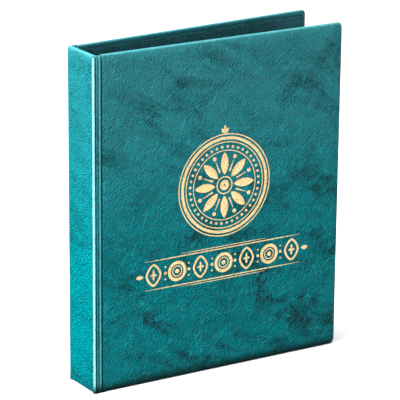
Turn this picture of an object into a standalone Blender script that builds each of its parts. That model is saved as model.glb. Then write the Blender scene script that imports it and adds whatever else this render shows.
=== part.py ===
"""Ring-bound coin album, standing on its bottom edges with both covers slightly splayed.

Three grey boards are wrapped in leatherette and joined by two scored leatherette strips.
A four-ring mechanism is riveted to the spine and carries five clear coin sheets.

Frame: +Z up, along the spine. The spine's outer face looks towards -X, the front cover's
towards -Y and the back cover's towards +Y. The origin is the bottom centre of the closed box.
Units are metres.
"""

from math import asin, cos, pi, radians, sin

import bmesh
import bpy
from mathutils import Vector

MM = 0.001

# Case, outside sizes
HEIGHT = 280.0 * MM
COVER_LENGTH = 232.5 * MM      # spine's outer face to a cover's free edge
DEPTH = 40.0 * MM              # front face to back face at the spine
SPLAY = radians(2.12)          # each cover stands open by this at rest
PANEL = 4.0 * MM               # wrapped board, outer face to lining
SKIN = 0.6 * MM                # leatherette
LINING = 0.6 * MM
GAP = 0.3 * MM                 # clearance between neighbouring pieces
BOARD = PANEL - SKIN - LINING - 2 * GAP
TURN_IN = 4.0 * MM             # leatherette folded onto the inside
EDGE_R = 1.2 * MM              # rounding of the wrapped edges
CORNER_R = 3.5 * MM            # free corners, seen from the front

# Scored hinge between the spine and each cover
STRIP_T = 1.2 * MM
STRIP_X0 = 0.9 * MM
STRIP_X1 = 7.5 * MM
COVER_X0 = 8.1 * MM
AXIS_1 = (0.3 * MM, 0.3 * MM)  # from the spine's outer corner: along X, and in from the face
AXIS_2 = (7.8 * MM, 0.0)
SPINE_Y0 = 1.5 * MM            # the spine board starts this far in from the faces

# Ring mechanism, distances from the spine's outer face
RING_Z = (-100.0 * MM, -35.0 * MM, 35.0 * MM, 100.0 * MM)
RING_X = 16.5 * MM
RING_R = 11.5 * MM
WIRE_R = 1.25 * MM
PLATE_X0 = 4.3 * MM
PLATE_X1 = 8.4 * MM
PLATE_T = 0.6 * MM
PLATE_HALF = 9.6 * MM
PLATE_END = 113.3 * MM
PIVOT_X = 5.8 * MM
PIVOT_Y = 8.7 * MM
BLADE_T = 0.9 * MM
BLADE_END = 106.0 * MM
BLADE_TILT = radians(5.0)      # the closed blades dip towards the spine by this
LEG_Y = 6.5 * MM
RIVET_Z = 67.5 * MM
RIVET_R = 1.6 * MM
TRIGGER_Z = 109.3 * MM
TRIGGER_X = 5.9 * MM
PIN_R = 0.7 * MM

# Coin sheets
SHEET_LENGTH = 202.0 * MM
SHEET_HEIGHT = 252.0 * MM
SHEET_T = 0.6 * MM
SHEET_PITCH = 2.8 * MM
SHEET_X0 = 2.5 * MM            # punched edge, from the rings' centre line
HOLE_X = 11.65 * MM
HOLE_R = 3.6 * MM
SHEETS = 5

# The spine's outer face, placed so that the album's box is centred on the origin
REACH = (
    AXIS_1[0]
    + cos(SPLAY) * (COVER_LENGTH - AXIS_1[0])
    + sin(SPLAY) * (PANEL - EDGE_R - AXIS_1[1])
)
XS = -REACH / 2
MID = HEIGHT / 2

for old in list(bpy.data.objects):
    bpy.data.objects.remove(old, do_unlink=True)
scene = bpy.context.scene.collection


def material(name, colour, roughness, metallic=0.0, alpha=1.0):
    made = bpy.data.materials.new(name)
    made.use_nodes = True
    shader = made.node_tree.nodes["Principled BSDF"]
    shader.inputs["Base Color"].default_value = (*colour, 1.0)
    shader.inputs["Roughness"].default_value = roughness
    shader.inputs["Metallic"].default_value = metallic
    shader.inputs["Alpha"].default_value = alpha
    made.diffuse_color = (*colour, alpha)
    return made


TEAL = material("teal_leatherette", (0.005, 0.23, 0.26), 0.38)
LINER = material("teal_lining", (0.006, 0.12, 0.14), 0.5)
GREYBOARD = material("grey_board", (0.35, 0.33, 0.30), 0.9)
NICKEL = material("nickel_plate", (0.75, 0.74, 0.72), 0.2, 1.0)
STEEL = material("spring_steel", (0.5, 0.5, 0.52), 0.35, 1.0)
CLEAR = material("clear_plastic", (0.85, 0.9, 0.92), 0.15, 0.0, 0.4)


def empty(name, location, parent=None, turn=0.0):
    made = bpy.data.objects.new(name, None)
    made.location = location
    made.rotation_euler = (0, 0, turn)
    made.parent = parent
    scene.objects.link(made)
    return made


def finish(name, bm, surface, location=(0, 0, 0), parent=None, turn=0.0, angle=35):
    """One closed piece from a bmesh."""
    bmesh.ops.remove_doubles(bm, verts=bm.verts, dist=1e-7)
    bmesh.ops.recalc_face_normals(bm, faces=bm.faces)
    mesh = bpy.data.meshes.new(name)
    bm.to_mesh(mesh)
    bm.free()
    mesh.shade_smooth()
    mesh.set_sharp_from_angle(angle=radians(angle))
    mesh.materials.append(surface)
    made = bpy.data.objects.new(name, mesh)
    made.location = location
    made.rotation_euler = (0, 0, turn)
    made.parent = parent
    scene.objects.link(made)
    return made


def cut(piece, tool, how="DIFFERENCE"):
    tool.hide_render = True
    tool.display_type = "WIRE"
    step = piece.modifiers.new(tool.name, "BOOLEAN")
    step.operation = how
    step.solver = "EXACT"
    step.object = tool


def bridge(bm, loops, close=True):
    """Quads between neighbouring closed loops of points, with both ends capped."""
    rows = [[bm.verts.new(p) for p in loop] for loop in loops]
    for low, high in zip(rows, rows[1:]):
        for i in range(len(low)):
            j = (i + 1) % len(low)
            bm.faces.new((low[i], low[j], high[j], high[i]))
    if close:
        bm.faces.new(rows[0])
        bm.faces.new(rows[-1])


def box_bm(lo, hi):
    bm = bmesh.new()
    loops = []
    for z in (lo[2], hi[2]):
        loops.append([(lo[0], lo[1], z), (hi[0], lo[1], z), (hi[0], hi[1], z), (lo[0], hi[1], z)])
    bridge(bm, loops)
    return bm


def prism(points, place, start, end):
    """A flat outline carried from start to end; place(u, v, w) gives the world point."""
    bm = bmesh.new()
    bridge(bm, [[place(u, v, w) for u, v in points] for w in (start, end)])
    return bm


def cylinder_bm(radius, centre, axis, start, end, sides=16):
    """A round bar along X, Y or Z."""
    bm = bmesh.new()
    loops = []
    for w in (start, end):
        loop = []
        for i in range(sides):
            a, b = radius * cos(2 * pi * i / sides), radius * sin(2 * pi * i / sides)
            loop.append(
                {
                    "X": (w, centre[0] + a, centre[1] + b),
                    "Y": (centre[0] + a, w, centre[1] + b),
                    "Z": (centre[0] + a, centre[1] + b, w),
                }[axis]
            )
        loops.append(loop)
    bridge(bm, loops)
    return bm


def arc(cx, cy, r, a0, a1, n):
    return [
        (cx + r * cos(radians(a0 + (a1 - a0) * i / n)), cy + r * sin(radians(a0 + (a1 - a0) * i / n)))
        for i in range(n + 1)
    ]


def outline(x0, x1, z0, z1, r, inset, n=5):
    """A panel seen from the front, with its two free corners rounded."""
    points = [(x0, z0 + inset)]
    points += arc(x1 - r, z0 + r, r - inset, -90, 0, n)
    points += arc(x1 - r, z1 - r, r - inset, 0, 90, n)
    points += [(x0, z1 - inset)]
    return points


# ---------------------------------------------------------------- case

# Local frame of a cover: x along the cover, y in from its outer face, z up, taken from the
# spine's outer corner. side is -1 for the front and +1 for the back.


def case_side(word, side):
    hinge_1 = empty(
        word + "_hinge_axis",
        (XS + AXIS_1[0], side * (DEPTH / 2 - AXIS_1[1]), 0),
        turn=side * SPLAY,
    )
    hinge_2 = empty(
        word + "_fold_axis",
        (AXIS_2[0] - AXIS_1[0], side * (AXIS_1[1] - AXIS_2[1]), 0),
        hinge_1,
    )

    def at_1(x, y, z):
        return (x - AXIS_1[0], side * (AXIS_1[1] - y), z)

    def at_2(x, y, z):
        return (x - AXIS_2[0], side * (AXIS_2[1] - y), z)

    # leatherette gutter between the two score lines, its rims slightly eased
    bm = bmesh.new()
    ease = 0.3 * MM
    loops = []
    for z, e in ((0, ease), (ease, 0), (HEIGHT - ease, 0), (HEIGHT, ease)):
        loops.append(
            [
                at_1(STRIP_X0, e, z),
                at_1(STRIP_X1, e, z),
                at_1(STRIP_X1, STRIP_T - e, z),
                at_1(STRIP_X0, STRIP_T - e, z),
            ]
        )
    bridge(bm, loops)
    finish(word + "_hinge_strip", bm, TEAL, parent=hinge_1)

    # cover skin: a shallow tray of leatherette, turned in along three edges
    bm = bmesh.new()
    loops = []
    steps = 3
    for k in range(steps + 1):
        a = radians(90 * k / steps)
        y, inset = EDGE_R * (1 - cos(a)), EDGE_R * (1 - sin(a))
        loops.append([at_2(x, y, z) for x, z in outline(COVER_X0, COVER_LENGTH, 0, HEIGHT, CORNER_R, inset)])
    for k in range(steps, -1, -1):
        a = radians(90 * k / steps)
        y, inset = PANEL - EDGE_R * (1 - cos(a)), EDGE_R * (1 - sin(a))
        loops.append([at_2(x, y, z) for x, z in outline(COVER_X0, COVER_LENGTH, 0, HEIGHT, CORNER_R, inset)])
    bridge(bm, loops)
    skin = finish(word + "_skin", bm, TEAL, parent=hinge_2)

    def slab(name, x0, x1, y0, y1, z0, z1, r):
        made = bmesh.new()
        bridge(made, [[at_2(x, y, z) for x, z in outline(x0, x1, z0, z1, r, 0, 4)] for y in (y0, y1)])
        return finish(name, made, GREYBOARD, parent=hinge_2)

    hollow = slab(
        word + "_skin_hollow",
        COVER_X0 - 1 * MM,
        COVER_LENGTH - SKIN,
        SKIN,
        PANEL - LINING,
        SKIN,
        HEIGHT - SKIN,
        CORNER_R - SKIN,
    )
    mouth = slab(
        word + "_skin_mouth",
        COVER_X0 - 1 * MM,
        COVER_LENGTH - TURN_IN,
        PANEL - LINING - 0.5 * MM,
        PANEL + 1 * MM,
        TURN_IN,
        HEIGHT - TURN_IN,
        0.5 * MM,
    )
    cut(skin, hollow)
    cut(skin, mouth)

    # grey board
    bm = bmesh.new()
    inner = SKIN + GAP
    bridge(
        bm,
        [
            [
                at_2(x, y, z)
                for x, z in outline(
                    COVER_X0 + GAP,
                    COVER_LENGTH - inner,
                    inner,
                    HEIGHT - inner,
                    CORNER_R - inner,
                    0,
                    4,
                )
            ]
            for y in (inner, inner + BOARD)
        ],
    )
    finish(word + "_board", bm, GREYBOARD, parent=hinge_2)

    # lining, set in the opening that the turned-in edges leave
    edge = TURN_IN + GAP
    bm = bmesh.new()
    bridge(
        bm,
        [
            [
                at_2(x, y, z)
                for x, z in outline(COVER_X0 + GAP, COVER_LENGTH - edge, edge, HEIGHT - edge, 0.5 * MM, 0, 2)
            ]
            for y in (PANEL - LINING, PANEL)
        ],
    )
    finish(word + "_lining", bm, LINER, parent=hinge_2)


case_side("front", -1)
case_side("back", 1)

# spine skin: an outer sheet, folded over the board's top and bottom edges
y0 = DEPTH / 2 - SPINE_Y0
c_outer = arc(EDGE_R, EDGE_R, EDGE_R, 180, 270, 3)
c_inner = arc(PANEL - EDGE_R, EDGE_R, EDGE_R, 270, 360, 3)
low = c_outer + c_inner + [
    (PANEL, TURN_IN),
    (PANEL - LINING, TURN_IN),
    (PANEL - LINING, SKIN),
    (SKIN, SKIN),
]
high = [(x, HEIGHT - z) for x, z in reversed(low)]
c_shape = low + high
bm = prism(c_shape, lambda u, v, w: (XS + u, w, v), -y0, y0)
spine_skin = finish("spine_skin", bm, TEAL)
flap = finish(
    "spine_skin_flaps",
    prism(
        arc(EDGE_R, EDGE_R, EDGE_R, 180, 240, 2)
        + [(SKIN, SKIN)]
        + [(SKIN, HEIGHT - SKIN)]
        + [(x, HEIGHT - z) for x, z in reversed(arc(EDGE_R, EDGE_R, EDGE_R, 180, 240, 2))],
        lambda u, v, w: (XS + u, w, v),
        -DEPTH / 2,
        DEPTH / 2,
    ),
    TEAL,
)
cut(spine_skin, flap, "UNION")

inner = SKIN + GAP
spine_board = finish(
    "spine_board",
    box_bm((XS + inner, -y0, inner), (XS + inner + BOARD, y0, HEIGHT - inner)),
    GREYBOARD,
)
edge = TURN_IN + GAP
spine_lining = finish(
    "spine_lining",
    box_bm((XS + PANEL - LINING, -y0, edge), (XS + PANEL, y0, HEIGHT - edge)),
    LINER,
)

# ---------------------------------------------------------------- ring mechanism

# cover plate: a shallow sprung channel with curled lips that hold the two blades
def plate_profile():
    """Outer then inner line of the channel, seen along its length, as (height, half width)."""
    h, t, w = PLATE_X1 - PLATE_X0, PLATE_T, PLATE_HALF
    rise = 1.9 * MM                       # straight part of the side walls
    n = 6
    outer = [(0, w - 1.9 * MM), (0, w - 0.5 * MM), (0.5 * MM, w), (rise, w)]
    for i in range(1, n + 1):
        a = pi / 2 * i / n
        outer.append((rise + (h - rise) * sin(a), w * cos(a) ** 0.55 if i < n else 0.0))
    inside = [(t, w - 1.9 * MM), (t, w - t), (rise, w - t)]
    for i in range(1, n + 1):
        a = pi / 2 * i / n
        inside.append((rise + (h - rise - t) * sin(a), (w - t) * cos(a) ** 0.55 if i < n else 0.0))
    right = outer
    left = [(x, -y) for x, y in reversed(outer[:-1])]
    inner_left = [(x, -y) for x, y in inside]
    inner_right = list(reversed(inside[:-1]))
    return right + left + inner_left + inner_right


bm = prism(plate_profile(), lambda u, v, w: (XS + PLATE_X0 + u, v, w), MID - PLATE_END, MID + PLATE_END)
ring_plate = finish("ring_plate", bm, NICKEL)
for n, dz in enumerate(RING_Z):
    z = MID + dz
    for side, word in ((-1, "front"), (1, "back")):
        ends = sorted((side * (LEG_Y - WIRE_R - 0.6 * MM), side * (PLATE_HALF + 1 * MM)))
        slot = finish(
            f"slot_{word}_{n + 1}",
            box_bm(
                (XS + 5.1 * MM, ends[0], z - WIRE_R - 0.35 * MM),
                (XS + PLATE_X1 + 1 * MM, ends[1], z + WIRE_R + 0.35 * MM),
            ),
            STEEL,
        )
        cut(ring_plate, slot)

# rivets through the spine, the plate and the gap between the blades
for word, sign in (("top", 1), ("bottom", -1)):
    z = MID + sign * RIVET_Z
    profile = [
        (0.95 * MM, 0.0),
        (0.95 * MM, 3.0 * MM),
        (1.25 * MM, 3.2 * MM),
        (1.70 * MM, 1.9 * MM),
        (2.30 * MM, RIVET_R),
        (PLATE_X1 + GAP, RIVET_R),
        (PLATE_X1 + GAP, 3.0 * MM),
        (PLATE_X1 + GAP + 0.45 * MM, 2.75 * MM),
        (PLATE_X1 + GAP + 0.8 * MM, 1.9 * MM),
        (PLATE_X1 + GAP + 1.0 * MM, 0.0),
    ]
    bm = bmesh.new()
    sides = 16
    loops = []
    for x, r in profile[1:-1]:
        loops.append([(XS + x, r * cos(2 * pi * i / sides), z + r * sin(2 * pi * i / sides)) for i in range(sides)])
    bridge(bm, loops, close=False)
    bm.verts.ensure_lookup_table()
    for loop, tip in ((list(bm.verts)[:sides], profile[0][0]), (list(bm.verts)[-sides:], profile[-1][0])):
        point = bm.verts.new((XS + tip, 0, z))
        for i in range(sides):
            bm.faces.new((loop[i], loop[(i + 1) % sides], point))
    finish(f"rivet_{word}", bm, NICKEL)
    hole = finish(
        f"rivet_hole_{word}",
        cylinder_bm(RIVET_R + GAP, (0, z), "X", XS + 0.2 * MM, XS + 12 * MM),
        STEEL,
    )
    sink = finish(
        f"rivet_sink_{word}",
        cylinder_bm(3.6 * MM, (0, z), "X", XS + 0.2 * MM, XS + 2.0 * MM),
        STEEL,
    )
    cut(ring_plate, hole)
    cut(spine_lining, hole)
    cut(spine_board, hole)
    cut(spine_board, sink)

# blades and half rings
ARC_END = 135.0                # the round part of a half ring ends here


def ring_path(side):
    """Centre line of a half ring from its tip to its foot, as world X and Y."""
    points = []
    start = asin(0.15 * MM / RING_R) * 180 / pi
    n = 18
    for i in range(n + 1):
        a = radians(start + (ARC_END - start) * i / n)
        points.append((RING_X + RING_R * cos(a), RING_R * sin(a)))
    x0, y0_ = points[-1]
    x3, y3 = PIVOT_X + 0.9 * MM, LEG_Y
    x1, y1 = x0 - 0.9 * MM, y0_ - 0.9 * MM
    x2, y2 = x3 + 0.7 * MM, y3
    for i in range(1, 5):
        t = i / 4
        a, b, c, d = (1 - t) ** 3, 3 * t * (1 - t) ** 2, 3 * t * t * (1 - t), t**3
        points.append((a * x0 + b * x1 + c * x2 + d * x3, a * y0_ + b * y1 + c * y2 + d * y3))
    points.append((PIVOT_X - 1.0 * MM, LEG_Y))
    return [(XS + x, side * y) for x, y in points]


def tube(path, radius, sides=10):
    bm = bmesh.new()
    loops = []
    for i, (x, y) in enumerate(path):
        before = path[max(i - 1, 0)]
        after = path[min(i + 1, len(path) - 1)]
        t = Vector((after[0] - before[0], after[1] - before[1])).normalized()
        if i == 0:
            t = Vector((0, 1 if after[1] > before[1] else -1))
        nx, ny = -t.y, t.x
        loops.append(
            [
                (
                    x + radius * cos(2 * pi * k / sides) * nx,
                    y + radius * cos(2 * pi * k / sides) * ny,
                    radius * sin(2 * pi * k / sides),
                )
                for k in range(sides)
            ]
        )
    bridge(bm, loops)
    return bm


for side, word in ((-1, "front"), (1, "back")):
    pivot = empty(word + "_leaf_axis", (XS + PIVOT_X, side * PIVOT_Y, 0))
    # the blade, flat in its own frame, tilted about the lip that holds its outer edge
    y_in, y_out = PIVOT_Y - 0.3 * MM, 0.2 * MM
    ends = sorted((-side * y_in, -side * y_out))
    bm = box_bm(
        (-BLADE_T / 2, ends[0], MID - BLADE_END),
        (BLADE_T / 2, ends[1], MID + BLADE_END),
    )
    blade = finish(word + "_blade", bm, STEEL, parent=pivot, turn=-side * BLADE_TILT)
    for n, dz in enumerate(RING_Z):
        tool = finish(
            f"{word}_blade_hole_{n + 1}",
            cylinder_bm(WIRE_R + GAP, (side * LEG_Y, MID + dz), "X", XS + 2 * MM, XS + 9 * MM, 12),
            STEEL,
        )
        cut(blade, tool)
    for name, sign in (("top", 1), ("bottom", -1)):
        tool = finish(
            f"{word}_blade_notch_{name}",
            cylinder_bm(RIVET_R + 0.9 * MM, (0, MID + sign * RIVET_Z), "X", XS + 2 * MM, XS + 9 * MM),
            STEEL,
        )
        cut(blade, tool)
    for n, dz in enumerate(RING_Z):
        bm = tube(ring_path(side), WIRE_R)
        bmesh.ops.translate(bm, verts=bm.verts, vec=(-XS - PIVOT_X, -side * PIVOT_Y, MID + dz))
        finish(f"{word}_half_ring_{n + 1}", bm, NICKEL, parent=pivot, angle=60)

# end triggers and their pins
BARREL_R = 1.55 * MM
under = [(2.0, -0.35), (3.4, 0.05), (5.0, 0.8), (8.0, 2.0), (10.2, 2.9), (11.3, 3.3)]
over = [(11.0, 4.1), (9.7, 3.7), (7.5, 2.85), (4.6, 1.65), (3.0, 1.05), (1.7, 0.7)]
for word, sign in (("top", 1), ("bottom", -1)):
    z = MID + sign * TRIGGER_Z
    axis = empty(f"trigger_{word}_axis", (XS + TRIGGER_X, 0, z))
    shape = [(-3.0 * MM, -0.45 * MM), (-1.48 * MM, -0.45 * MM)]
    shape += arc(0, 0, BARREL_R, 205, 335, 6)
    shape += [(u * MM, v * MM) for u, v in under + over]
    shape += arc(0, 0, BARREL_R, 35, 160, 6)
    shape += [(-1.48 * MM, 0.45 * MM), (-3.0 * MM, 0.45 * MM)]
    bm = prism(shape, lambda u, v, w: (v, w, sign * u), -6.0 * MM, 6.0 * MM)
    trigger = finish(f"trigger_{word}", bm, NICKEL, parent=axis)
    bore = finish(
        f"trigger_bore_{word}",
        cylinder_bm(PIN_R + GAP, (XS + TRIGGER_X, z), "Y", -7 * MM, 7 * MM, 12),
        STEEL,
    )
    cut(trigger, bore)
    finish(
        f"trigger_pin_{word}",
        cylinder_bm(PIN_R, (XS + TRIGGER_X, z), "Y", -PLATE_HALF - 0.3 * MM, PLATE_HALF + 0.3 * MM, 12),
        STEEL,
    )
    pin_hole = finish(
        f"plate_pin_hole_{word}",
        cylinder_bm(PIN_R + GAP, (XS + TRIGGER_X, z), "Y", -PLATE_HALF - 2 * MM, PLATE_HALF + 2 * MM, 12),
        STEEL,
    )
    cut(ring_plate, pin_hole)

# ---------------------------------------------------------------- coin sheets

ring_axis = empty("ring_axis", (XS + RING_X, 0, 0))
for n in range(SHEETS):
    y = (n - (SHEETS - 1) / 2) * SHEET_PITCH
    r = 3.0 * MM
    plan = (
        arc(SHEET_X0 + r, MID - SHEET_HEIGHT / 2 + r, r, 180, 270, 3)
        + arc(SHEET_X0 + SHEET_LENGTH - r, MID - SHEET_HEIGHT / 2 + r, r, 270, 360, 3)
        + arc(SHEET_X0 + SHEET_LENGTH - r, MID + SHEET_HEIGHT / 2 - r, r, 0, 90, 3)
        + arc(SHEET_X0 + r, MID + SHEET_HEIGHT / 2 - r, r, 90, 180, 3)
    )
    bm = prism(plan, lambda u, v, w: (u, w, v), y - SHEET_T / 2, y + SHEET_T / 2)
    sheet = finish(f"coin_sheet_{n + 1}", bm, CLEAR, parent=ring_axis)
    for k, dz in enumerate(RING_Z):
        tool = finish(
            f"coin_sheet_{n + 1}_hole_{k + 1}",
            cylinder_bm(HOLE_R, (HOLE_X, MID + dz), "Y", y - 2 * MM, y + 2 * MM),
            STEEL,
            parent=ring_axis,
        )
        cut(sheet, tool)
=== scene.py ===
from math import acos, asin, atan2, cos, exp, hypot, pi, radians, sin, sqrt

import bmesh
import bpy
from mathutils import Matrix, Vector, noise


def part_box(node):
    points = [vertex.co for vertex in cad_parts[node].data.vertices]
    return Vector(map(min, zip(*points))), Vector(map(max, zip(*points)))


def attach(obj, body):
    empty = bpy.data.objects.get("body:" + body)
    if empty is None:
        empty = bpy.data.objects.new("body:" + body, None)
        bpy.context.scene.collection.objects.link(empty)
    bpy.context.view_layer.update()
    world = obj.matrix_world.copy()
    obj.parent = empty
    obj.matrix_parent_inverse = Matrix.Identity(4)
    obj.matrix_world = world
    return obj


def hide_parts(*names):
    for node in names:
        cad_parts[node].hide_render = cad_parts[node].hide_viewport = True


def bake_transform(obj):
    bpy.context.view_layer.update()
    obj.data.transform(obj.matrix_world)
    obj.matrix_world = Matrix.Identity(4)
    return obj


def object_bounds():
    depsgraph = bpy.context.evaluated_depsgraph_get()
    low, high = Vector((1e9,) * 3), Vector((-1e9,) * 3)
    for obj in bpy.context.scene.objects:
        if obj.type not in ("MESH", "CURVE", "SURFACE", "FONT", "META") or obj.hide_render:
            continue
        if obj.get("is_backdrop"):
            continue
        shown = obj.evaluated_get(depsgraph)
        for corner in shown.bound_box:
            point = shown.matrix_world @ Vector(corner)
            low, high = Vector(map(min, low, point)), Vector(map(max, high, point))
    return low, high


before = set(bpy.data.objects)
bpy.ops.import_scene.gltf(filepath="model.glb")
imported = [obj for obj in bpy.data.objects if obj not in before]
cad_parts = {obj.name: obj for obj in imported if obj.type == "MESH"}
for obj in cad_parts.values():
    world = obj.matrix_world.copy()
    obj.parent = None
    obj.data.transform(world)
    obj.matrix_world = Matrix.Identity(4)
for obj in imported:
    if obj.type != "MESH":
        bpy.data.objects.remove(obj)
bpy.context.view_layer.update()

MM = 0.001

# ------------------------------------------------------------------ sizes, as the frame has them
HEIGHT = 280.0 * MM
LENGTH = 232.5 * MM
DEPTH = 40.0 * MM
SPLAY = radians(2.12)
PANEL = 4.0 * MM
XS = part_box("spine_skin")[0].x
MID = HEIGHT / 2
CORNER = 3.5 * MM
AX1 = 0.3 * MM
RING_X, RING_R, WIRE_R = 16.5 * MM, 11.5 * MM, 1.25 * MM
RING_Z = (-100.0 * MM, -35.0 * MM, 35.0 * MM, 100.0 * MM)

# ------------------------------------------------------------------ materials


class Tree:
    """A material's nodes, written as expressions."""

    def __init__(self, name):
        self.m = bpy.data.materials.new(name)
        self.m.use_nodes = True
        self.t = self.m.node_tree
        self.p = self.t.nodes["Principled BSDF"]

    def put(self, socket, value):
        if isinstance(value, bpy.types.NodeSocket):
            self.t.links.new(value, socket)
        else:
            if socket.type == "RGBA" and len(value) == 3:
                value = (*value, 1.0)
            socket.default_value = value

    def node(self, kind, **settings):
        n = self.t.nodes.new(kind)
        for k, v in settings.items():
            setattr(n, k, v)
        return n

    def math(self, op, a, b=0.0, c=None, clamp=False):
        n = self.node("ShaderNodeMath", operation=op, use_clamp=clamp)
        self.put(n.inputs[0], a)
        self.put(n.inputs[1], b)
        if c is not None:
            self.put(n.inputs[2], c)
        return n.outputs[0]

    def ramp(self, x, lo, hi, a=0.0, b=1.0, smooth=True):
        n = self.node("ShaderNodeMapRange", interpolation_type="SMOOTHSTEP" if smooth else "LINEAR")
        self.put(n.inputs["Value"], x)
        n.inputs["From Min"].default_value = lo
        n.inputs["From Max"].default_value = hi
        n.inputs["To Min"].default_value = a
        n.inputs["To Max"].default_value = b
        return n.outputs["Result"]

    def mix(self, f, a, b, mode="MIX"):
        n = self.node("ShaderNodeMix", data_type="RGBA", blend_type=mode)
        self.put(n.inputs[0], f)
        self.put(n.inputs[6], a)
        self.put(n.inputs[7], b)
        return n.outputs[2]

    def noise(self, vec, scale, detail=2.0, rough=0.5, dist=0.0):
        n = self.node("ShaderNodeTexNoise")
        self.put(n.inputs["Vector"], vec)
        n.inputs["Scale"].default_value = scale
        n.inputs["Detail"].default_value = detail
        n.inputs["Roughness"].default_value = rough
        n.inputs["Distortion"].default_value = dist
        return n.outputs["Fac"]

    def noise3(self, vec, scale, detail=2.0):
        n = self.node("ShaderNodeTexNoise")
        self.put(n.inputs["Vector"], vec)
        n.inputs["Scale"].default_value = scale
        n.inputs["Detail"].default_value = detail
        return n.outputs["Color"]

    def voronoi(self, vec, scale, feature="F1", smooth=0.3, rand=1.0):
        n = self.node("ShaderNodeTexVoronoi", feature=feature)
        self.put(n.inputs["Vector"], vec)
        n.inputs["Scale"].default_value = scale
        n.inputs["Randomness"].default_value = rand
        if feature == "SMOOTH_F1":
            n.inputs["Smoothness"].default_value = smooth
        return n.outputs["Distance"]

    def place(self, vec, scale=(1, 1, 1)):
        n = self.node("ShaderNodeMapping")
        self.put(n.inputs["Vector"], vec)
        n.inputs["Scale"].default_value = scale
        return n.outputs["Vector"]

    def drawn(self, vec, angle, along, across, loc=(0, 0, 0)):
        """Coordinates for a pattern drawn out along the given angle."""
        n = self.node("ShaderNodeMapping", vector_type="TEXTURE")
        self.put(n.inputs["Vector"], vec)
        n.inputs["Rotation"].default_value = (0, 0, radians(angle))
        n.inputs["Scale"].default_value = (along, across, 1)
        n.inputs["Location"].default_value = loc
        return n.outputs["Vector"]

    def shift(self, vec, by, amount):
        """vec moved by (by - 0.5) * amount."""
        n = self.node("ShaderNodeVectorMath", operation="MULTIPLY_ADD")
        self.put(n.inputs[0], by)
        n.inputs[1].default_value = (amount, amount, amount)
        m = self.node("ShaderNodeVectorMath", operation="ADD")
        k = self.node("ShaderNodeVectorMath", operation="SUBTRACT")
        self.put(k.inputs[0], vec)
        k.inputs[1].default_value = (amount / 2, amount / 2, amount / 2)
        self.put(n.inputs[2], k.outputs[0])
        return n.outputs[0]

    def bump(self, height, strength, distance, normal=None):
        n = self.node("ShaderNodeBump")
        n.inputs["Strength"].default_value = strength
        n.inputs["Distance"].default_value = distance
        self.put(n.inputs["Height"], height)
        if normal is not None:
            self.put(n.inputs["Normal"], normal)
        return n.outputs["Normal"]

    def set(self, **values):
        names = {
            "color": "Base Color",
            "rough": "Roughness",
            "metal": "Metallic",
            "normal": "Normal",
            "alpha": "Alpha",
            "spec": "Specular IOR Level",
            "coat": "Coat Weight",
            "coat_rough": "Coat Roughness",
            "sheen": "Sheen Weight",
            "ior": "IOR",
        }
        for k, v in values.items():
            self.put(self.p.inputs[names[k]], v)


def sheet_plane(t, plane):
    """The leather's own flat coordinates in millimetres: along the wrap, up, and a little depth."""
    pos = t.node("ShaderNodeTexCoord").outputs["Object"]
    s = t.node("ShaderNodeSeparateXYZ")
    t.put(s.inputs[0], pos)
    x, y, z = s.outputs
    c = t.node("ShaderNodeCombineXYZ")
    if plane == "spine":
        t.put(c.inputs[0], t.math("MULTIPLY", y, -1000.0))
        t.put(c.inputs[2], t.math("MULTIPLY", x, 300.0))
    elif plane == "front":
        t.put(c.inputs[0], t.math("MULTIPLY_ADD", x, 1000.0, 137.0))
        t.put(c.inputs[2], t.math("MULTIPLY", y, 300.0))
    else:
        t.put(c.inputs[0], t.math("MULTIPLY_ADD", x, -1000.0, -137.0))
        t.put(c.inputs[2], t.math("MULTIPLY", y, 300.0))
    t.put(c.inputs[1], t.math("MULTIPLY", z, 1000.0))
    return c.outputs[0], pos


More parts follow.
